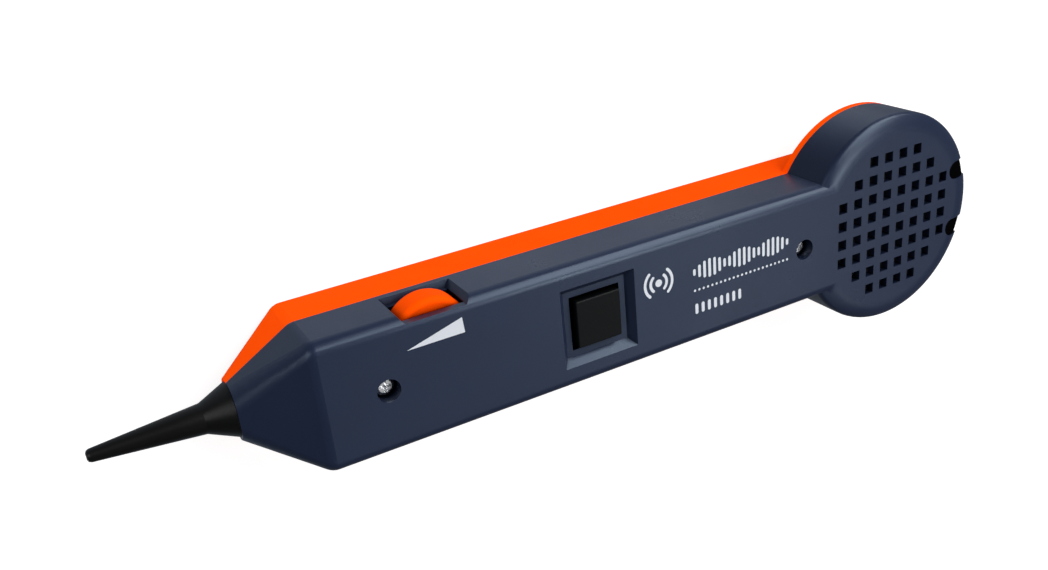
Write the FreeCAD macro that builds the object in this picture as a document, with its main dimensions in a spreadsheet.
import FreeCAD, Part
import math
import os
import re
import Sketcher

# Hand-held tone probe: an inductive amplifier with a loudspeaker in its round head. Millimetres.
# It lies on its back. +X runs from the probe tip to the head, +Y towards the volume wheel and
# +Z out of the front face. The origin is the middle of the bounding box's lower face.

V = FreeCAD.Vector
doc = FreeCAD.newDocument("ToneProbe")

DIMENSIONS = {
    # case
    "overall_length": 235.0,
    "body_depth": 27.6,
    "handle_width": 31.0,
    "head_radius": 28.8,
    "wall": 2.0,
    "parting_height": 13.3,
    "front_round": 2.8,
    "back_round": 2.0,
    "bend_round": 4.0,
    "nose_bend": -72.3,
    "nose_end": -87.8,
    "nose_end_radius": 6.4,
    "nose_corner_share": 0.75,
    "head_back_radius": 16.0,
    "head_side_start": 11.4,
    "rim_width": 5.0,
    "rim_crown_radius": 9.0,
    "rim_edge_radius": 1.6,
    # grille and handset notches
    "grille_pitch": 5.16,
    "grille_hole": 2.8,
    "notch_offset": 8.4,
    "notch_width": 5.0,
    "notch_radius": 22.2,
    "notch_floor": 19.0,
    # case screws
    "tip_screw_position": -57.5,
    "head_screw_position": 57.7,
    "screw_head_radius": 2.5,
    "screw_head_height": 1.7,
    "screw_shelf": 23.4,
    "screw_shank_radius": 1.45,
    "screw_length": 18.0,
    "screw_head_play": 0.22,
    "screw_shank_play": 0.15,
    "screw_bite": 0.02,
    "cross_length": 2.8,
    "cross_width": 0.7,
    "boss_radius": 3.2,
    # probe tip
    "tip_base_radius": 6.2,
    "tip_root_radius": 3.4,
    "tip_root_distance": 6.2,
    "tip_end_radius": 1.45,
    "tip_neck_radius": 4.5,
    "tip_flange_overhang": 0.9,
    "tip_flange_thickness": 1.75,
    "tip_bore_radius": 1.5,
    "tip_bore_depth": 10.2,
    "insert_collar_radius": 2.4,
    "insert_collar_length": 3.15,
    # push button and its switch
    "button_position": -4.5,
    "button_size": 12.0,
    "button_top": 27.3,
    "button_flange_top": 22.6,
    "button_flange_bottom": 21.6,
    "button_flange_overhang": 1.3,
    "button_corner_round": 0.5,
    "button_edge_round": 0.35,
    "button_hollow_radius": 4.4,
    "button_hollow_depth": 1.5,
    "opening_size": 13.6,
    "recess_floor": 25.6,
    "recess_floor_size": 16.7,
    "recess_size": 20.1,
    "switch_size": 12.0,
    "switch_height": 6.0,
    "plunger_radius": 1.9,
    "spring_radius": 3.6,
    "spring_wire": 0.3,
    "spring_turns": 4,
    # volume wheel and potentiometer
    "wheel_position": -44.6,
    "wheel_offset": 7.4,
    "wheel_radius": 9.25,
    "wheel_bottom": 17.6,
    "wheel_thickness": 7.0,
    "wheel_wall": 2.0,
    "wheel_round": 1.4,
    "wheel_screw_seat": 1.2,
    "wheel_shaft_radius": 2.0,
    "slot_tip_reach": 7.3,
    "slot_head_reach": 7.6,
    "slot_gap": 0.6,
    "pocket_floor": 13.9,
    "pocket_bottom": 15.6,
    "pocket_tip_reach": 7.0,
    "pocket_head_reach": 7.4,
    "pocket_tip_bevel": 2.3,
    "pocket_head_bevel": 3.0,
    "pocket_bottom_bevel": 1.1,
    "pocket_overrun": 1.6,
    "potentiometer_radius": 5.5,
    "shaft_foot": 1.6,
    "running_gap": 0.05,
    # circuit board
    "board_bottom": 10.8,
    "board_thickness": 1.6,
    "board_half_width": 12.3,
    "board_end": 2.3,
    "board_screw_position": -26.0,
    "board_screw_offset": 9.5,
    "board_screw_radius": 1.0,
    "board_screw_length": 6.0,
    "board_post_radius": 2.6,
    "nose_post_position": -68.3,
    "nose_post_offset": 8.0,
    # battery
    "battery_start": 8.1,
    "battery_length": 46.2,
    "battery_width": 26.2,
    "battery_depth": 17.2,
    "battery_bottom": 2.7,
    "battery_stud_spacing": 12.7,
    "battery_stud_height": 2.1,
    "rib_offset": 6.0,
    "rib_length": 9.0,
    "rib_thickness": 1.2,
    # loudspeaker
    "speaker_radius": 21.8,
    "speaker_flange_top": 24.8,
    "speaker_flange": 0.8,
    "yoke_bottom": 6.4,
    "magnet_bottom": 8.0,
    "magnet_top": 13.0,
    "magnet_radius": 11.0,
    "basket_bottom": 14.6,
    "basket_thickness": 0.6,
    "coil_bottom": 11.5,
    "coil_radius": 5.3,
    "coil_thickness": 0.6,
    "cone_bottom": 17.2,
    "cone_top": 23.2,
    "cone_radius": 17.6,
    "cone_thickness": 0.4,
    "clip_circle": 24.2,
    "clip_thickness": 1.0,
    "clip_width": 5.0,
    "clip_screw_radius": 0.95,
    "clip_screw_length": 2.4,
    "speaker_post_radius": 1.9,
    # handset terminals
    "block_start": 20.0,
    "block_bottom": 12.5,
    "block_top": 16.5,
    "block_post_position": 22.4,
    "block_post_offset": 6.0,
    "lug_gap": 0.2,
    "tab_start": 20.2,
    "tab_top": 20.8,
    "tab_width": 4.0,
    "tab_thickness": 0.8,
    # wires
    "wire_radius": 0.6,
    "thin_wire_radius": 0.5,
}

sheet = doc.addObject("Spreadsheet::Sheet", "Dims")
for row, (alias, size) in enumerate(DIMENSIONS.items(), start=1):
    sheet.set("A%d" % row, alias)
    sheet.set("B%d" % row, str(size))
    sheet.setAlias("B%d" % row, alias)
doc.recompute()

WORD = re.compile(r"[a-z_][a-z_0-9]*")
NODES = []


def cell(expression):
    """Write plain dimension names as references to the sheet."""

    def as_reference(match):
        word = match.group()
        return "Dims." + word if word in DIMENSIONS else word

    return WORD.sub(as_reference, str(expression))


def size_of(expression):
    """The number that an expression in dimension names comes to."""
    return float(sheet.evalExpression(cell(expression)))


def bind(target, **sizes):
    """Tie properties of an object to expressions in dimension names."""
    for name, expression in sizes.items():
        target.setExpression(name, cell(expression))


def place(target, x=0, y=0, z=0, rotation=None):
    """Turn an object, then tie its position to the sheet."""
    if rotation:
        target.Placement = FreeCAD.Placement(V(0, 0, 0), FreeCAD.Rotation(*rotation))
    for axis, expression in zip("xyz", (x, y, z)):
        target.setExpression("Placement.Base." + axis, cell(expression))


def node(label, target):
    """Name a finished piece and keep it for export."""
    target.Label = label
    NODES.append(target)
    return target


# ---- primitives and booleans ----

def box(name, x, y, z, length, width, height):
    """A box from its low X edge and low Z face, centred on y."""
    solid = doc.addObject("Part::Box", name)
    bind(solid, Length=length, Width=width, Height=height)
    place(solid, x, "%s - (%s) / 2" % (y, width), z)
    return solid


def cylinder(name, x, y, z, radius, height, rotation=None):
    solid = doc.addObject("Part::Cylinder", name)
    bind(solid, Radius=radius, Height=height)
    place(solid, x, y, z, rotation)
    return solid


def fuse(name, solids):
    joined = doc.addObject("Part::MultiFuse", name)
    joined.Shapes = solids
    joined.Refine = True
    return joined


def cut(name, base, tools):
    """Take each tool away from the base in turn."""
    for count, tool in enumerate(tools, start=1):
        result = doc.addObject("Part::Cut", "%s_cut_%d" % (name, count))
        result.Base = base
        result.Tool = tool
        base = result
    return base


def common(name, base, tool):
    kept = doc.addObject("Part::Common", name)
    kept.Base = base
    kept.Tool = tool
    return kept


def group(name, solids):
    together = doc.addObject("Part::Compound", name)
    together.Links = solids
    return together


def feature(name, shape):
    """A shape made by Part's functions, for forms that no sketch or primitive gives."""
    made = doc.addObject("Part::Feature", name)
    made.Shape = shape
    return made


# ---- sketched bodies ----

HORIZONTAL_AXIS = -1
VERTICAL_AXIS = -2


def polygon_sketch(body, role, name, points):
    """A closed outline whose corners are tied to the sheet, on one of the body's own planes."""
    sketch = body.newObject("Sketcher::SketchObject", name)
    plane = next(item for item in body.Origin.OriginFeatures if item.Role == role)
    sketch.AttachmentSupport = [(plane, "")]
    sketch.MapMode = "FlatFace"
    corners = [(size_of(x), size_of(y)) for x, y in points]
    count = len(corners)
    for index, (x, y) in enumerate(corners):
        next_x, next_y = corners[(index + 1) % count]
        sketch.addGeometry(Part.LineSegment(V(x, y, 0), V(next_x, next_y, 0)))
    for index in range(count):
        sketch.addConstraint(Sketcher.Constraint("Coincident", index, 2, (index + 1) % count, 1))
    kinds = ("DistanceX", "DistanceY")
    axes = (VERTICAL_AXIS, HORIZONTAL_AXIS)
    for index, (corner, expressions) in enumerate(zip(corners, points)):
        for kind, axis, number, expression in zip(kinds, axes, corner, expressions):
            if abs(number) < 1e-9:
                sketch.addConstraint(Sketcher.Constraint("PointOnObject", index, 1, axis))
            else:
                rule = sketch.addConstraint(Sketcher.Constraint(kind, -1, 1, index, 1, number))
                sketch.setExpression("Constraints[%d]" % rule, cell(expression))
    return sketch


def turned(name, points, x=0, y=0, z=0, rotation=None):
    """A body turned about its own Z axis from an outline of (radius, height) corners."""
    body = doc.addObject("PartDesign::Body", name)
    sketch = polygon_sketch(body, "XZ_Plane", name + "_outline", points)
    turn = body.newObject("PartDesign::Revolution", name + "_turn")
    turn.Profile = sketch
    turn.ReferenceAxis = (sketch, ["V_Axis"])
    turn.Angle = 360
    place(body, x, y, z, rotation)
    return body


def plate(name, points, thickness, x=0, y=0, z=0):
    """A body padded upwards from an outline of (x, y) corners."""
    body = doc.addObject("PartDesign::Body", name)
    sketch = polygon_sketch(body, "XY_Plane", name + "_outline", points)
    pad = body.newObject("PartDesign::Pad", name + "_pad")
    pad.Profile = sketch
    bind(pad, Length=thickness)
    place(body, x, y, z)
    return body


def rectangle(length, width):
    """Corners of a rectangle about the origin."""
    return [
        ("-(%s) / 2" % length, "-(%s) / 2" % width),
        ("(%s) / 2" % length, "-(%s) / 2" % width),
        ("(%s) / 2" % length, "(%s) / 2" % width),
        ("-(%s) / 2" % length, "(%s) / 2" % width),
    ]


def round_edges(body, name, radius, test):
    """Fillet the edges of the body's last feature that pass a test."""
    doc.recompute()
    base = body.Tip
    edges = ["Edge%d" % (index + 1) for index, edge in enumerate(base.Shape.Edges) if test(edge)]
    fillet = body.newObject("PartDesign::Fillet", name)
    fillet.Base = (base, edges)
    bind(fillet, Radius=radius)
    return body


def is_upright(edge):
    low, high = edge.BoundBox.ZMin, edge.BoundBox.ZMax
    return high - low > 0.5 and edge.BoundBox.XLength < 1e-6 and edge.BoundBox.YLength < 1e-6


def is_top(body):
    top = body.Tip.Shape.BoundBox.ZMax
    return lambda edge: edge.BoundBox.ZMin > top - 1e-6


def bent_path(points, bend_radius):
    """Straight runs between points, joined by an arc at each corner."""
    corners = [V(*point) for point in points]
    edges = []
    start = corners[0]
    for before, corner, after in zip(corners, corners[1:], corners[2:]):
        back = (before - corner).normalize()
        ahead = (after - corner).normalize()
        half_angle = back.getAngle(ahead) / 2
        room = 0.45 * min(corner.distanceToPoint(before), corner.distanceToPoint(after))
        radius = min(bend_radius, room * math.tan(half_angle))
        setback = radius / math.tan(half_angle)
        middle = corner + (back + ahead).normalize() * (radius / math.sin(half_angle) - radius)
        edges.append(Part.LineSegment(start, corner + back * setback).toShape())
        edges.append(Part.Arc(corner + back * setback, middle, corner + ahead * setback).toShape())
        start = corner + ahead * setback
    edges.append(Part.LineSegment(start, corners[-1]).toShape())
    return Part.Wire(edges)


def wire_run(name, points, radius, bend_radius=6):
    """An insulated wire that follows a bent path through the points."""
    path = bent_path(points, bend_radius)
    start = V(*points[0])
    section = Part.Wire(Part.makeCircle(radius, start, V(*points[1]) - start))
    return feature(name, path.makePipeShell([section], True, False))


HEAD = "overall_length / 2 - head_radius"
HEAD_X = size_of(HEAD)
TO_MINUS_X = (V(0, 1, 0), -90)
TO_PLUS_X = (V(0, 1, 0), 90)


# ---- case form ----

def rounded_section(x, half_width, low, high, front_radius, back_radius):
    """A rounded rectangle across the handle at x, as a closed wire."""
    centres = [
        (half_width - front_radius, high - front_radius, front_radius, 0),
        (front_radius - half_width, high - front_radius, front_radius, 90),
        (back_radius - half_width, low + back_radius, back_radius, 180),
        (half_width - back_radius, low + back_radius, back_radius, 270),
    ]
    corners = []
    for y, z, radius, start in centres:
        angles = [math.radians(start + step) for step in (0, 45, 90)]
        corners.append([V(x, y + radius * math.cos(a), z + radius * math.sin(a)) for a in angles])
    edges = []
    for corner, following in zip(corners, corners[1:] + corners[:1]):
        edges.append(Part.Arc(*corner).toShape())
        edges.append(Part.LineSegment(corner[2], following[0]).toShape())
    return Part.Wire(edges)


def handle_and_nose(inset, bend_round):
    """The straight handle and its tapering nose, drawn in by inset all round."""
    half_width = size_of("handle_width / 2") - inset
    low = inset
    high = size_of("body_depth") - inset
    front_radius = max(size_of("front_round") - inset, 0.6)
    back_radius = max(size_of("back_round") - inset, 0.5)
    bend = size_of("nose_bend")
    end = size_of("nose_end") + inset
    share = inset / (bend - size_of("nose_end"))
    end_half = size_of("nose_end_radius") * (1 - share) + size_of("handle_width / 2") * share - inset
    end_radius = size_of("nose_corner_share") * end_half
    axis = size_of("parting_height")
    bend_section = rounded_section(bend, half_width, low, high, front_radius, back_radius)
    end_section = rounded_section(end, end_half, axis - end_half, axis + end_half, end_radius, end_radius)
    nose = Part.makeLoft([end_section, bend_section], True, True)
    handle = Part.Face(bend_section).extrude(V(HEAD_X - bend, 0, 0))
    form = nose.fuse(handle).removeSplitter()
    if bend_round:
        bend_edges = [e for e in form.Edges if all(abs(v.Point.x - bend) < 1e-4 for v in e.Vertexes)]
        form = form.makeFillet(bend_round, bend_edges)
    return form


def head_form(inset):
    """The round head: a flat back, a flared side, a straight side and a crowned rim."""
    radius = size_of("head_radius") - inset
    low = inset
    high = size_of("body_depth") - inset
    back_radius = size_of("head_back_radius")
    flare = V(size_of("head_radius") - back_radius, 0, size_of("head_side_start"))
    flare_start = V(back_radius, 0, 0) + V(-flare.z, 0, flare.x) * (inset / flare.Length)
    start_x = flare_start.x + (low - flare_start.z) * flare.x / flare.z
    side_z = flare_start.z + (radius - flare_start.x) * flare.z / flare.x
    crown = size_of("rim_crown_radius")
    edge = size_of("rim_edge_radius")
    crown_width = (size_of("rim_width") - edge) / (1 - edge / crown)
    tilt = math.asin(crown_width / crown)
    crown_start = V(radius - size_of("rim_width"), 0, high)

    def on_crown(angle):
        return crown_start + V(crown * math.sin(angle), 0, crown * (math.cos(angle) - 1))

    edge_centre = on_crown(tilt) - V(math.sin(tilt), 0, math.cos(tilt)) * edge

    def on_edge(angle):
        return edge_centre + V(edge * math.sin(angle), 0, edge * math.cos(angle))

    corners = [V(0, 0, low), V(start_x, 0, low), V(radius, 0, side_z), on_edge(math.pi / 2)]
    edges = [Part.LineSegment(a, b).toShape() for a, b in zip(corners, corners[1:])]
    edges.append(Part.Arc(on_edge(math.pi / 2), on_edge((math.pi / 2 + tilt) / 2), on_edge(tilt)).toShape())
    edges.append(Part.Arc(on_crown(tilt), on_crown(tilt / 2), crown_start).toShape())
    top_centre = V(0, 0, high)
    edges.append(Part.LineSegment(crown_start, top_centre).toShape())
    edges.append(Part.LineSegment(top_centre, corners[0]).toShape())
    half_section = Part.Face(Part.Wire(edges))
    turned_head = half_section.revolve(V(0, 0, 0), V(0, 0, 1), 360)
    turned_head.translate(V(HEAD_X, 0, 0))
    return turned_head


def case_form(name, inset, bend_round):
    form = handle_and_nose(inset, bend_round).fuse(head_form(inset)).removeSplitter()
    return feature(name, form)


def screw_positions():
    return ("tip_screw_position", "head_screw_position")


SPEAKER_POST_ANGLES = (60, 180, 300)
BATTERY_RIB_SHARES = (0.3, 0.73)


def around_head(angle, radius):
    """Expressions for a point on a circle about the head's axis."""
    return (
        "%s + %s * cos(%d)" % (HEAD, radius, angle),
        "%s * sin(%d)" % (radius, angle),
    )


def grille_holes():
    """Square holes on a square grid, cut back to a round field."""
    pitch = size_of("grille_pitch")
    side = size_of("grille_hole")
    depth = 3 * size_of("wall")
    holes = []
    for row_count, row in zip((4, 6, 8, 8, 8, 8, 6, 4), range(8)):
        for column in range(row_count):
            x = HEAD_X + (row - 3.5) * pitch - side / 2
            y = (column - (row_count - 1) / 2) * pitch - side / 2
            holes.append(Part.makeBox(side, side, depth, V(x, y, size_of("body_depth - 2 * wall"))))
    return feature("grille_holes", Part.makeCompound(holes))


def square_funnel(name, x, low_size, high_size, low, high):
    """A square hole that widens upwards, centred on the handle's middle line."""
    funnel = doc.addObject("Part::Wedge", name)
    low_half = "(%s) / 2" % low_size
    high_half = "(%s) / 2" % high_size
    bind(
        funnel,
        Xmin="-" + low_half, Xmax=low_half, Zmin="-" + low_half, Zmax=low_half,
        X2min="-" + high_half, X2max=high_half, Z2min="-" + high_half, Z2max=high_half,
        Ymin="0", Ymax="%s - (%s)" % (high, low),
    )
    place(funnel, x, 0, low, (V(1, 0, 0), 90))
    return funnel


def wheel_pocket():
    """The bevelled pocket in the side that bares the wheel's rim, open to the front."""
    pocket = doc.addObject("Part::Wedge", "wheel_pocket")
    bind(
        pocket,
        Xmin="-pocket_tip_reach", X2min="-pocket_tip_reach - pocket_tip_bevel",
        Xmax="pocket_head_reach", X2max="pocket_head_reach + pocket_head_bevel",
        Zmin="0", Z2min="-pocket_bottom_bevel", Zmax="body_depth", Z2max="body_depth",
        Ymin="0", Ymax="handle_width / 2 - pocket_floor + pocket_overrun",
    )
    place(pocket, "wheel_position", "pocket_floor", "pocket_bottom")
    return pocket


def wheel_slot():
    """The opening in the pocket's floor that the wheel's rim comes through."""
    return box("wheel_slot", "wheel_position - slot_tip_reach", "pocket_floor", "wheel_bottom - slot_gap",
               "slot_tip_reach + slot_head_reach", "1.2 * wall", "wheel_thickness + 2 * slot_gap + 0.2")


def notches():
    """Round-ended slots through the rim at the head's end, one for each handset terminal."""
    return [notch_slot(side, "notch_floor", "0") for side in (-1, 1)]


def notch_slot(side, bottom, gap):
    """A bar with a round inner end that fills one notch from bottom upwards, less a gap all round."""
    start = "%s + sqrt(notch_radius ^ 2 - notch_offset ^ 2) + notch_width / 2" % HEAD
    y = "%d * notch_offset" % side
    height = "body_depth - (%s) + wall" % bottom
    end = cylinder("notch_end", start, y, bottom, "notch_width / 2 - %s" % gap, height)
    slot = box("notch_bar", start, y, bottom, "head_radius / 2", "notch_width - 2 * %s" % gap, height)
    return fuse("notch_shape", [end, slot])


def neck_hole():
    return cylinder("neck_hole", "nose_end - 1", 0, "parting_height", "tip_neck_radius + running_gap",
                    "wall + 2", TO_PLUS_X)


POST_BOTTOM = "speaker_flange_top - speaker_flange"


def front_bosses():
    """Screw bosses, a frame round the button's recess and posts for the speaker's clips."""
    solids = []
    for x in screw_positions():
        solids.append(cylinder("front_boss", x, 0, "parting_height", "boss_radius",
                               "body_depth - parting_height - wall / 2"))
    frame_size = "recess_size + 2 * wall"
    frame_bottom = "recess_floor - wall"
    solids.append(box("button_frame", "button_position - (%s) / 2" % frame_size, 0, frame_bottom,
                      frame_size, frame_size, "body_depth - wall / 2 - (%s)" % frame_bottom))
    for angle in SPEAKER_POST_ANGLES:
        x, y = around_head(angle, "clip_circle")
        solids.append(cylinder("speaker_post", x, y, POST_BOTTOM, "speaker_post_radius",
                               "body_depth - wall / 2 - (%s)" % POST_BOTTOM))
    return solids


def button_openings():
    """The bevelled recess and the square hole in its floor."""
    slope = "(recess_size - recess_floor_size) / (body_depth - recess_floor)"
    return [
        square_funnel("button_recess", "button_position", "recess_floor_size",
                      "recess_size + 1 * (%s)" % slope, "recess_floor", "body_depth + 1"),
        box("button_opening", "button_position - opening_size / 2", 0, "recess_floor - 3 * wall",
            "opening_size", "opening_size", "5 * wall"),
    ]


def front_holes():
    holes = []
    for x in screw_positions():
        holes.append(cylinder("counterbore", x, 0, "screw_shelf", "screw_head_radius + screw_head_play",
                              "body_depth"))
        holes.append(cylinder("clearance_hole", x, 0, "parting_height - 1",
                              "screw_shank_radius + screw_shank_play", "screw_shelf - parting_height + 2"))
    for angle in SPEAKER_POST_ANGLES:
        x, y = around_head(angle, "clip_circle")
        holes.append(cylinder("speaker_pilot", x, y, "%s - 0.5" % POST_BOTTOM,
                              "clip_screw_radius + screw_bite", "clip_screw_length - 0.2"))
    return holes + button_openings() + [wheel_pocket(), wheel_slot(), grille_holes(), neck_hole()] + notches()


def front_shell(outer, cavity):
    above = box("above_parting", "-overall_length / 2", 0, "parting_height",
                "overall_length", "3 * head_radius", "body_depth")
    hollow = cut("front", common("front_block", outer, above), [cavity])
    return cut("front_shell", fuse("front_with_bosses", [hollow] + front_bosses()), front_holes())


def rear_bosses():
    """Screw bosses, posts under the board and the terminal block, and ribs under the battery."""
    floor = "wall / 2"
    solids = []
    for x in screw_positions():
        solids.append(cylinder("rear_boss", x, 0, floor, "boss_radius", "parting_height - wall / 2"))
    for side in (-1, 1):
        solids.append(cylinder("board_post", "board_screw_position", "%d * board_screw_offset" % side, floor,
                               "board_post_radius", "board_bottom - wall / 2"))
        solids.append(cylinder("nose_post", "nose_post_position", "%d * nose_post_offset" % side, floor,
                               "wall", "board_bottom - wall / 2"))
        solids.append(cylinder("block_post", HEAD + " + block_post_position", "%d * block_post_offset" % side,
                               "head_side_start - 3.4", "1.8", "block_bottom - head_side_start + 3.4"))
        for share in BATTERY_RIB_SHARES:
            solids.append(box("battery_rib", "battery_start + %s * battery_length" % share,
                              "%d * rib_offset" % side, floor,
                              "rib_thickness", "rib_length", "battery_bottom - wall / 2"))
    return solids


def rear_holes():
    holes = []
    for x in screw_positions():
        holes.append(cylinder("screw_pilot", x, 0, "screw_shelf - screw_length - 1",
                              "screw_shank_radius + screw_bite", "parting_height"))
    for side in (-1, 1):
        holes.append(cylinder("board_pilot", "board_screw_position", "%d * board_screw_offset" % side,
                              "board_bottom + board_thickness - board_screw_length - 1",
                              "board_screw_radius + screw_bite", "board_bottom"))
    return holes + [neck_hole()]


def rear_shell(outer, cavity):
    below = box("below_parting", "-overall_length / 2", 0, "-1",
                "overall_length", "3 * head_radius", "parting_height + 1")
    hollow = cut("rear", common("rear_block", outer, below), [cavity])
    return cut("rear_shell", fuse("rear_with_bosses", [hollow] + rear_bosses()), rear_holes())


# ---- probe tip ----

def probe_tip():
    """A black moulded tip: flange and neck inside the nose, flared base and slender point outside."""
    length = "nose_end + overall_length / 2"
    flange_back = "-wall - running_gap - tip_flange_thickness"
    outline = [
        ("tip_bore_radius", flange_back),
        ("tip_neck_radius + tip_flange_overhang", flange_back),
        ("tip_neck_radius + tip_flange_overhang", "-wall - running_gap"),
        ("tip_neck_radius", "-wall - running_gap"),
        ("tip_neck_radius", "running_gap"),
        ("tip_base_radius", "running_gap"),
        ("tip_root_radius", "tip_root_distance"),
        ("tip_end_radius", length + " - 0.8"),
        ("tip_end_radius - 0.25", length + " - 0.25"),
        ("tip_end_radius - 0.75", length),
        ("0", length),
        ("0", "tip_bore_depth"),
        ("tip_bore_radius", "tip_bore_depth"),
    ]
    return turned("tip", outline, "nose_end", 0, "parting_height", TO_MINUS_X)


def tip_insert():
    """A brass pin in the tip's bore, with a collar that takes the lead."""
    collar_front = "-wall - 2 * running_gap - tip_flange_thickness"
    collar_back = collar_front + " - insert_collar_length"
    pin_radius = "tip_bore_radius - screw_bite"
    outline = [
        ("0", collar_back),
        ("insert_collar_radius", collar_back),
        ("insert_collar_radius", collar_front),
        (pin_radius, collar_front),
        (pin_radius, "tip_bore_depth - 0.5"),
        ("0", "tip_bore_depth - 0.5"),
    ]
    return turned("insert", outline, "nose_end", 0, "parting_height", TO_MINUS_X)


# ---- fasteners ----

def screw_outline(head_radius, head_height, shank_radius, length):
    """Half of a domed screw from its point to the rim of its drive recess."""
    return [
        ("0", "-(%s)" % length),
        ("0.55 * %s" % shank_radius, "-(%s)" % length),
        (shank_radius, "1.5 * %s - (%s)" % (shank_radius, length)),
        (shank_radius, "0"),
        (head_radius, "0"),
        (head_radius, "0.45 * %s" % head_height),
        ("0.86 * %s" % head_radius, "0.8 * %s" % head_height),
        ("0.6 * %s" % head_radius, head_height),
    ]


def pan_screw(name, head_radius, head_height, shank_radius, length, x, y, z, rotation=None):
    """A domed screw with a conical recess, its head sitting on z."""
    outline = screw_outline(head_radius, head_height, shank_radius, length)
    outline.append(("0.3 * %s" % head_radius, head_height))
    outline.append(("0", "0.45 * %s" % head_height))
    return turned(name, outline, x, y, z, rotation)


def case_screws():
    """Two long domed screws with a cross recess."""
    screws = []
    outline = screw_outline("screw_head_radius", "screw_head_height", "screw_shank_radius", "screw_length")
    outline.append(("0", "screw_head_height"))
    floor = "screw_shelf + 0.35 * screw_head_height"
    for x in screw_positions():
        blank = turned("case_screw", outline, x, 0, "screw_shelf")
        along = box("cross_along", x + " - cross_length / 2", 0, floor, "cross_length", "cross_width", "2")
        across = box("cross_across", x + " - cross_width / 2", 0, floor, "cross_width", "cross_length", "2")
        screws.append(cut("case_screw", blank, [along, across]))
    return group("case_screw_pair", screws)


def board_screws():
    return group("board_screw_pair", [
        pan_screw("board_screw", head_radius="2.0", head_height="1.3", shank_radius="board_screw_radius",
                  length="board_screw_length", x="board_screw_position",
                  y="%d * board_screw_offset" % side, z="board_bottom + board_thickness")
        for side in (-1, 1)
    ])


# ---- push button ----

def push_button():
    """A square cap with a retaining flange, hollowed from below for the spring."""
    cap = plate("button_cap", rectangle("button_size", "button_size"), "button_top - button_flange_bottom",
                "button_position", 0, "button_flange_bottom")
    round_edges(cap, "cap_corners", "button_corner_round", is_upright)
    doc.recompute()
    round_edges(cap, "cap_top_edge", "button_edge_round", is_top(cap))
    flange_size = "button_size + 2 * button_flange_overhang"
    flange = box("button_flange", "button_position - (%s) / 2" % flange_size, 0, "button_flange_bottom",
                 flange_size, flange_size, "button_flange_top - button_flange_bottom")
    hollow = cylinder("button_hollow", "button_position", 0, "button_flange_bottom - 1",
                      "button_hollow_radius", "button_hollow_depth + 1")
    return cut("push_button", fuse("button_with_flange", [cap, flange]), [hollow])


SWITCH_TOP = "board_bottom + board_thickness + switch_height"
SPRING_TOP = "button_flange_bottom + button_hollow_depth"


def switch_housing():
    body = plate("switch_block", rectangle("switch_size", "switch_size"), "switch_height",
                 "button_position", 0, "board_bottom + board_thickness")
    round_edges(body, "switch_corner_round", "0.8", is_upright)
    bore = cylinder("plunger_bore", "button_position", 0, SWITCH_TOP + " - 4",
                    "plunger_radius + running_gap", "5")
    return cut("switch_housing", body, [bore])


def switch_plunger():
    reach = SPRING_TOP + " - (%s) + 2" % SWITCH_TOP
    outline = [
        ("0", "0"),
        ("plunger_radius", "0"),
        ("plunger_radius", reach),
        ("0", reach),
    ]
    return turned("plunger", outline, "button_position", 0, SWITCH_TOP + " - 2")


def button_spring():
    """A round-wire coil spring between the switch and the underside of the cap."""
    wire = size_of("spring_wire")
    radius = size_of("spring_radius")
    turns = int(size_of("spring_turns"))
    height = size_of(SPRING_TOP + " - (%s)" % SWITCH_TOP) - 2 * wire - 0.04
    steps = 16
    points = []
    for step in range(turns * steps + 1):
        angle = 2 * math.pi * step / steps
        points.append((radius * math.cos(angle), radius * math.sin(angle), height * step / (turns * steps)))
    curve = Part.BSplineCurve()
    curve.interpolate([V(*point) for point in points])
    section = Part.Wire(Part.makeCircle(wire, V(*points[0]), curve.tangent(curve.FirstParameter)[0]))
    spring = feature("spring", Part.Wire(curve.toShape()).makePipeShell([section], True, False))
    place(spring, "button_position", 0, "%s + spring_wire + 0.02" % SWITCH_TOP)
    return spring


# ---- volume wheel ----

WHEEL_TOP = "wheel_bottom + wheel_thickness"


def volume_wheel():
    """A dished thumbwheel: a rim, a web at the front and a hub over the shaft."""
    bore = "wheel_shaft_radius + screw_bite"
    outline = [
        (bore, "0"),
        ("wheel_shaft_radius + wheel_wall", "0"),
        ("wheel_shaft_radius + wheel_wall", "wheel_thickness - wheel_wall"),
        ("wheel_radius - wheel_wall", "wheel_thickness - wheel_wall"),
        ("wheel_radius - wheel_wall", "0"),
        ("wheel_radius", "0"),
        ("wheel_radius", "wheel_thickness"),
        ("wheel_shaft_radius + 0.4", "wheel_thickness"),
        ("wheel_shaft_radius + 0.4", "wheel_thickness - wheel_screw_seat"),
        (bore, "wheel_thickness - wheel_screw_seat"),
    ]
    wheel = turned("wheel", outline, "wheel_position", "wheel_offset", "wheel_bottom")
    rim = size_of("wheel_radius")

    def is_rim(edge):
        return abs(edge.BoundBox.XLength - 2 * rim) < 1e-3 and edge.BoundBox.ZLength < 1e-6

    return round_edges(wheel, "wheel_rim_round", "wheel_round", is_rim)


def wheel_screw():
    return pan_screw("small_screw", head_radius="1.9", head_height="1.0", shank_radius="0.8", length="4",
                     x="wheel_position", y="wheel_offset", z=WHEEL_TOP + " - wheel_screw_seat")


def potentiometer_shaft():
    """A round shaft with a tapped end, from inside the potentiometer to the wheel's seat."""
    foot = "board_bottom + board_thickness + shaft_foot"
    length = "%s - wheel_screw_seat - running_gap - (%s)" % (WHEEL_TOP, foot)
    thread_radius = "0.82"
    thread_floor = length + " - 4.3"
    outline = [
        ("0", "0"),
        ("wheel_shaft_radius", "0"),
        ("wheel_shaft_radius", length),
        (thread_radius, length),
        (thread_radius, thread_floor),
        ("0", thread_floor),
    ]
    return turned("shaft", outline, "wheel_position", "wheel_offset", foot)


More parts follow.
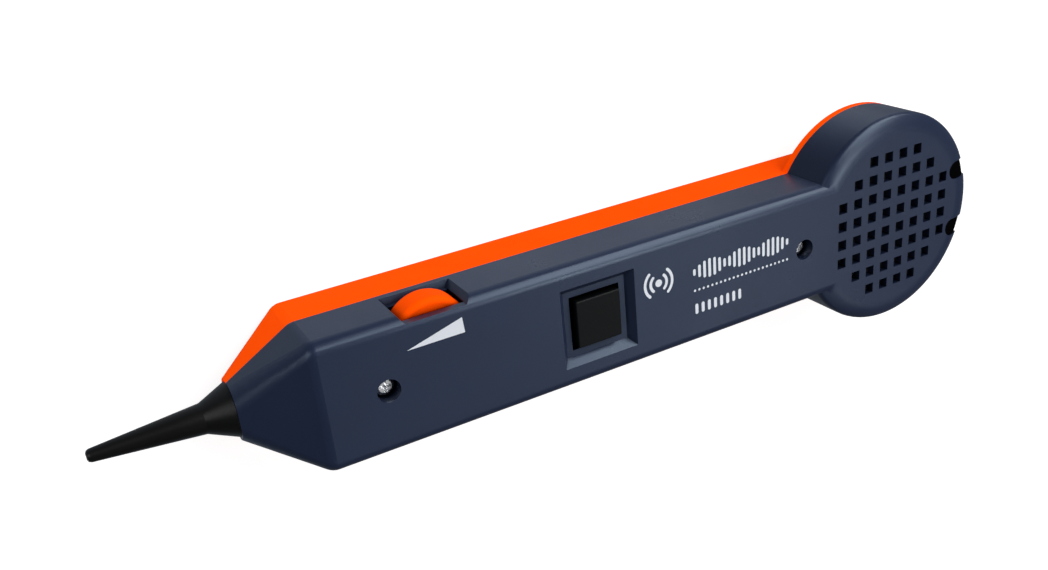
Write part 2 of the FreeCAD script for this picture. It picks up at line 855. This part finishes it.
def potentiometer_body():
    can = [
        ("wheel_shaft_radius + running_gap", "1.5"),
        ("wheel_shaft_radius + running_gap", "4.8"),
        ("potentiometer_radius - 1", "4.8"),
        ("potentiometer_radius - 1", "3.9"),
        ("potentiometer_radius", "3.9"),
        ("potentiometer_radius", "0"),
        ("0", "0"),
        ("0", "1.5"),
    ]
    return turned("potentiometer", can, "wheel_position", "wheel_offset", "board_bottom + board_thickness")


# ---- circuit board and its components ----

BOARD_TOP = "board_bottom + board_thickness"


def circuit_board():
    outline = [
        ("nose_bend - 8", "-6"),
        ("nose_bend", "-board_half_width"),
        ("board_end", "-board_half_width"),
        ("board_end", "board_half_width"),
        ("nose_bend", "board_half_width"),
        ("nose_bend - 8", "6"),
    ]
    blank = plate("board_blank", outline, "board_thickness", 0, 0, "board_bottom")
    holes = [cylinder("boss_hole", "tip_screw_position", 0, "board_bottom - 1", "boss_radius + 0.3", "4")]
    for side in (-1, 1):
        holes.append(cylinder("board_screw_hole", "board_screw_position", "%d * board_screw_offset" % side,
                              "board_bottom - 1", "1.15", "4"))
    return cut("circuit_board", blank, holes)


def amplifier_chip():
    """An eight-pin amplifier in a moulded block with a pin-one notch."""
    x, y = -19, 3
    length, width, height = 9.6, 6.4, 3.3
    block = plate("chip_block", rectangle(length, width), height, x, y, BOARD_TOP)
    notch = cylinder("chip_notch", x - length / 2, y, "%s + %s - 0.6" % (BOARD_TOP, height), "0.9", "2")
    return cut("amplifier_chip", block, [notch])


def electrolytic_capacitors():
    """Standing can capacitors with the crimp near the foot."""
    cans = []
    crimp = 0.3
    for x, y, radius, height in ((-33, -8, 2.5, 7), (-65.5, 6.5, 2, 5.5), (-30, 2.5, 2.5, 7)):
        outline = [
            ("0", "0"), (radius, "0"), (radius, "1"), (radius - crimp, "1.4"), (radius, "1.8"),
            (radius, height - crimp), (radius - crimp, height), ("0", height),
        ]
        cans.append(turned("can", outline, x, y, BOARD_TOP))
    return group("can_group", cans)


def ceramic_capacitors():
    """Disc capacitors standing on edge."""
    discs = []
    for x, y in ((-50, -8), (-54, -8), (-39, -8)):
        outline = [("0", "0"), ("1.7", "0"), ("2.2", "0.5"), ("2.2", "1.1"), ("1.7", "1.6"), ("0", "1.6")]
        discs.append(turned("disc", outline, x, y, BOARD_TOP + " + 2.2", TO_PLUS_X))
    return group("disc_group", discs)


def resistors():
    """Axial resistors with swelled ends, lying on the board."""
    barrels = []
    for x, y in ((-75, 3), (-75, -3), (-66, -8), (-46, -4), (-46, -1.5)):
        outline = [
            ("0", "0"), ("0.9", "0"), ("1.15", "0.3"), ("1.15", "1.4"), ("0.95", "1.8"),
            ("0.95", "4.4"), ("1.15", "4.8"), ("1.15", "5.9"), ("0.9", "6.2"), ("0", "6.2"),
        ]
        barrels.append(turned("barrel", outline, x, y, BOARD_TOP + " + 1.16", TO_PLUS_X))
    return group("barrel_group", barrels)


def transistors():
    """Moulded transistors with one flat side."""
    cases = []
    for x, y in ((-64.2, -2.5), (-36.6, -3.5)):
        barrel = cylinder("transistor_barrel", x, y, BOARD_TOP, "2.3", "4.8")
        flat = box("transistor_flat", x + 1.2, y, BOARD_TOP + " - 1", "3", "6", "7")
        cases.append(cut("transistor", barrel, [flat]))
    return group("transistor_group", cases)


# ---- battery ----

def battery():
    block = plate("battery_block", rectangle("battery_length", "battery_width"), "battery_depth",
                  "battery_start + battery_length / 2", 0, "battery_bottom")
    long_edge = size_of("battery_length")

    def is_long(edge):
        return abs(edge.BoundBox.XLength - long_edge) < 1e-6

    return round_edges(block, "battery_round", "2.2", is_long)


def battery_terminals():
    """The snap studs on the battery's end: one small and closed, one wide and open."""
    middle = "battery_bottom + battery_depth / 2"
    small = [("0", "0"), ("2.9", "0"), ("2.9", "0.5"), ("2.6", "1"), ("2.9", "1.5"),
             ("2.9", "battery_stud_height"), ("0", "battery_stud_height")]
    wide = [("0", "0"), ("4.3", "0"), ("4.3", "battery_stud_height"), ("3.4", "battery_stud_height"),
            ("3.4", "0.7"), ("0", "0.7")]
    return group("stud_pair", [
        turned("small_stud", small, "battery_start", "battery_stud_spacing / 2", middle, TO_MINUS_X),
        turned("wide_stud", wide, "battery_start", "-battery_stud_spacing / 2", middle, TO_MINUS_X),
    ])


SNAP_THICKNESS = 2.4


def battery_snap():
    """The plate that carries the mating studs and the leads."""
    width, height = 23, 12.4
    start = "battery_start - battery_stud_height - %s" % SNAP_THICKNESS
    bottom = "battery_bottom + battery_depth / 2 - %s" % (height / 2)
    return box("snap_plate", start, 0, bottom, SNAP_THICKNESS, width, height)


def battery_pad():
    """A foam block that holds the battery against the rear shell."""
    top = "battery_bottom + battery_depth"
    return box("pad_block", "battery_start + 6", 0, top, "34", "19", "body_depth - wall - (%s)" % top)


# ---- loudspeaker ----

def speaker_part(name, outline):
    return turned(name, outline, HEAD)


def speaker_gasket():
    return speaker_part("gasket", [
        ("speaker_radius - 2", "speaker_flange_top"),
        ("speaker_radius - 0.2", "speaker_flange_top"),
        ("speaker_radius - 0.2", "body_depth - wall"),
        ("speaker_radius - 2", "body_depth - wall"),
    ])


def speaker_frame():
    """The basket: a flange, a sloping wall and a floor with a hole for the coil."""
    floor = "basket_bottom + basket_thickness"
    return speaker_part("basket", [
        ("speaker_radius", "speaker_flange_top"),
        ("speaker_radius", POST_BOTTOM),
        ("speaker_radius - 1.4", POST_BOTTOM),
        ("speaker_radius - 1.4", POST_BOTTOM + " - 1.6"),
        ("magnet_radius - 0.4", "basket_bottom"),
        ("coil_radius + 0.5", "basket_bottom"),
        ("coil_radius + 0.5", floor),
        ("magnet_radius - 1", floor),
        ("speaker_radius - 2.3", POST_BOTTOM + " - 1.2"),
        ("speaker_radius - 2.3", "speaker_flange_top"),
    ])


def speaker_yoke():
    """The back plate and centre pole in one piece."""
    pole_radius = "coil_radius - 1"
    pole_top = "basket_bottom + 0.4"
    return speaker_part("yoke", [
        ("0", "yoke_bottom"),
        ("magnet_radius", "yoke_bottom"),
        ("magnet_radius", "magnet_bottom"),
        (pole_radius, "magnet_bottom"),
        (pole_radius, pole_top),
        ("0", pole_top),
    ])


def speaker_ring(name, inner, low, high):
    """A flat ring as wide as the magnet."""
    return speaker_part(name, [(inner, low), ("magnet_radius", low), ("magnet_radius", high), (inner, high)])


def speaker_magnet():
    return speaker_ring("magnet", "coil_radius + 0.9", "magnet_bottom", "magnet_top")


def speaker_top_plate():
    return speaker_ring("top_plate", "coil_radius + 0.4", "magnet_top", "basket_bottom")


def voice_coil():
    inner = "coil_radius - coil_thickness"
    return speaker_part("coil", [
        (inner, "coil_bottom"),
        ("coil_radius", "coil_bottom"),
        ("coil_radius", "cone_bottom"),
        (inner, "cone_bottom"),
    ])


def speaker_cone():
    """The paper cone, with a flat foot that stands on the coil."""
    inner = "coil_radius - coil_thickness"
    return speaker_part("cone", [
        (inner, "cone_bottom"),
        ("coil_radius + 0.3", "cone_bottom"),
        ("cone_radius", "cone_top"),
        ("cone_radius", "cone_top + cone_thickness"),
        ("coil_radius + 0.1", "cone_bottom + cone_thickness"),
        (inner, "cone_bottom + cone_thickness"),
    ])


def dust_cap():
    return speaker_part("cap", [
        ("coil_radius - 0.5", "17.6"), ("coil_radius - 0.1", "17.6"), ("coil_radius - 0.1", "18"),
        ("4.2", "18.8"), ("2.8", "19.4"), ("1.4", "19.7"), ("0", "19.8"),
        ("0", "19.5"), ("1.3", "19.4"), ("2.7", "19.1"), ("4", "18.5"),
    ])


def speaker_surround():
    """The half-roll that joins the cone's edge to the frame."""
    inner = "cone_radius + 0.1"
    return speaker_part("surround", [
        (inner, "23.3"), (inner, "23.7"), (inner + " + 0.4", "24.2"), (inner + " + 0.85", "24.4"),
        (inner + " + 1.3", "24.2"), (inner + " + 1.7", "23.7"), (inner + " + 1.7", "23.3"),
        (inner + " + 1.4", "23.3"), (inner + " + 1.15", "23.9"), (inner + " + 0.85", "24.05"),
        (inner + " + 0.55", "23.9"), (inner + " + 0.3", "23.3"),
    ])


def speaker_clips():
    """Tabs that hold the speaker's flange to the posts."""
    clips = []
    thickness = size_of("clip_thickness")
    width = size_of("clip_width")
    low = size_of(POST_BOTTOM) - thickness
    reach = size_of("clip_circle") + 2
    start = size_of("speaker_radius") - 0.9
    for angle in SPEAKER_POST_ANGLES:
        tab = Part.makeBox(reach - start, width, thickness, V(start, -width / 2, low))
        hole = Part.makeCylinder(size_of("clip_screw_radius") + 0.15, 4 * thickness,
                                 V(size_of("clip_circle"), 0, low - thickness))
        clip = tab.cut(hole)
        clip.rotate(V(0, 0, 0), V(0, 0, 1), angle)
        clip.translate(V(HEAD_X, 0, 0))
        clips.append(clip)
    return feature("clip_group", Part.makeCompound(clips))


def speaker_screws():
    """Screws driven towards the front face, their heads on the clips."""
    screws = []
    seat = POST_BOTTOM + " - clip_thickness"
    for angle in SPEAKER_POST_ANGLES:
        x, y = around_head(angle, "clip_circle")
        screws.append(pan_screw("clip_screw", head_radius="1.8", head_height="1.2",
                                shank_radius="clip_screw_radius", length="clip_screw_length",
                                x=x, y=y, z=seat, rotation=(V(1, 0, 0), 180)))
    return group("clip_screw_group", screws)


# ---- handset terminals ----

LUG_SETBACK = 0.3


def contact_tab(side):
    """A bent strip: an upright leg inside the case and a reach out to the notch's mouth."""
    start = HEAD + " + tab_start"
    y = "%d * notch_offset" % side
    leg = box("tab_leg", start, y, "block_top", "tab_thickness", "tab_width", "tab_top - block_top")
    reach = box("tab_reach", start, y, "tab_top - tab_thickness", "2 * notch_width", "tab_width",
                "tab_thickness")
    inside = cylinder("tab_limit", HEAD, 0, "block_top", "head_radius - 0.4", "tab_top")
    return common("tab", fuse("tab_strip", [leg, reach]), inside)


def terminal_block():
    """A black carrier whose lugs fill the notches, moulded round the contact tabs."""
    block = box("block", HEAD + " + block_start", 0, "block_bottom", "4", "22", "block_top - block_bottom")
    inside = cylinder("inside_wall", HEAD, 0, "block_bottom", "head_radius - wall - 0.3", "body_depth")
    split = "notch_floor + 0.15"
    solids = [block]
    for side in (-1, 1):
        y = "%d * notch_offset" % side
        foot = box("lug_foot", HEAD + " + block_start + 1", y, "block_top - 0.5",
                   "2 * notch_width", "notch_width - 2 * lug_gap", "%s + 0.5 - block_top" % split)
        flush = feature("flush_with_rim", head_form(LUG_SETBACK))
        head = notch_slot(side, split, "lug_gap")
        solids += [common("lug_foot_inside", foot, inside), common("lug_head", head, flush)]
    tabs = [contact_tab(side) for side in (-1, 1)]
    return cut("terminal_block", fuse("block_with_lugs", solids), tabs)


def handset_terminals():
    return group("tab_pair", [contact_tab(side) for side in (-1, 1)])


# ---- wires ----

def on_head_circle(angle, z):
    """A point on the circle inside the head's wall."""
    radius = size_of("clip_circle")
    turn = math.radians(angle)
    return (HEAD_X + radius * math.cos(turn), radius * math.sin(turn), z)


def tip_wire():
    axis = size_of("parting_height")
    start = size_of("nose_end + wall + tip_flange_thickness + insert_collar_length") + 0.45
    points = [
        (start, 0, axis),
        (start + 2.2, 1.2, axis + 1.6),
        (start + 5, 0, axis + 1.4),
        (start + 7.5, 0, axis - 0.2),
    ]
    return wire_run("tip_lead", points, 0.45)


def battery_wire(name, side):
    end = size_of("battery_start - battery_stud_height") - SNAP_THICKNESS - 0.35
    points = [
        (end, side * 8.6, 14.5),
        (end - 3, side * 9.4, 15.6),
        (end - 9, side * 9.6, 14.4),
        (end - 15, side * 9.2, size_of(BOARD_TOP) + 0.7),
    ]
    return wire_run(name, points, size_of("wire_radius"))


def along_battery(side, drop):
    """The stretch of a lead from the board over the battery's shoulder, drop above its neighbour."""
    board = size_of(BOARD_TOP)
    return [
        (-17, side * 11, board + 0.7 + drop),
        (-8, side * 12.0, 16 + drop),
        (6, side * 12.2, 21.6 + drop / 2),
        (30, side * 11.6, 22.6 + drop / 2),
    ]


def speaker_wires():
    runs = []
    for drop in (0, 1.5):
        into_head = [(54, 10.5, 22.2 + drop / 2), (64, 8, 18 + drop), (75, 3 + drop, 13.2 + drop)]
        name = "speaker_lead_%d" % (2 * drop)
        runs.append(wire_run(name, along_battery(1, drop) + into_head, size_of("thin_wire_radius")))
    return group("speaker_lead_pair", runs)


def handset_wires():
    runs = []
    for drop, end_y in ((0, -8.4), (1.6, -5.5)):
        round_head = [(54, -10.8, 21.5 + drop / 2), on_head_circle(207, 18.5 + drop)]
        round_head += [on_head_circle(angle, 17 + drop) for angle in (236, 270, 304)]
        round_head.append((HEAD_X + 19.5, end_y - 2, 17.1 + drop))
        name = "handset_lead_%d" % (2 * drop)
        runs.append(wire_run(name, along_battery(-1, drop) + round_head, size_of("thin_wire_radius")))
    return group("handset_lead_pair", runs)


# ---- assembly ----

def build():
    outer = case_form("case_outer", 0, size_of("bend_round"))
    cavity = case_form("case_cavity", size_of("wall"), 0)
    node("front_shell", front_shell(outer, cavity))
    node("rear_shell", rear_shell(outer, cavity))
    node("case_screws", case_screws())
    node("probe_tip", probe_tip())
    node("tip_insert", tip_insert())
    node("tip_wire", tip_wire())
    node("circuit_board", circuit_board())
    node("board_screws", board_screws())
    node("amplifier_chip", amplifier_chip())
    node("electrolytic_capacitors", electrolytic_capacitors())
    node("ceramic_capacitors", ceramic_capacitors())
    node("resistors", resistors())
    node("transistors", transistors())
    node("push_button", push_button())
    node("button_spring", button_spring())
    node("switch_plunger", switch_plunger())
    node("switch_housing", switch_housing())
    node("volume_wheel", volume_wheel())
    node("wheel_screw", wheel_screw())
    node("potentiometer_shaft", potentiometer_shaft())
    node("potentiometer_body", potentiometer_body())
    node("battery", battery())
    node("battery_terminals", battery_terminals())
    node("battery_snap", battery_snap())
    node("battery_pad", battery_pad())
    node("battery_wire_red", battery_wire("red_lead", 1))
    node("battery_wire_black", battery_wire("black_lead", -1))
    node("speaker_gasket", speaker_gasket())
    node("speaker_frame", speaker_frame())
    node("speaker_magnet", speaker_magnet())
    node("speaker_yoke", speaker_yoke())
    node("speaker_top_plate", speaker_top_plate())
    node("voice_coil", voice_coil())
    node("speaker_cone", speaker_cone())
    node("dust_cap", dust_cap())
    node("speaker_surround", speaker_surround())
    node("speaker_clips", speaker_clips())
    node("speaker_screws", speaker_screws())
    node("speaker_wires", speaker_wires())
    node("terminal_block", terminal_block())
    node("handset_terminals", handset_terminals())
    node("handset_wires", handset_wires())


def check():
    """Stop if any object failed to compute or any piece isn't sound."""
    doc.recompute()
    for item in doc.Objects:
        if "Invalid" in item.State or "Error" in item.State:
            raise RuntimeError("%s (%s): %s" % (item.Name, item.Label, item.State))
    for piece in NODES:
        shape = piece.Shape
        if shape.isNull() or not shape.isValid() or not shape.Solids:
            raise RuntimeError("%s has no sound shape" % piece.Label)


def export():
    os.makedirs("parts", exist_ok=True)
    for piece in NODES:
        piece.Shape.exportStep("parts/%s.step" % piece.Label)


build()
check()
export()
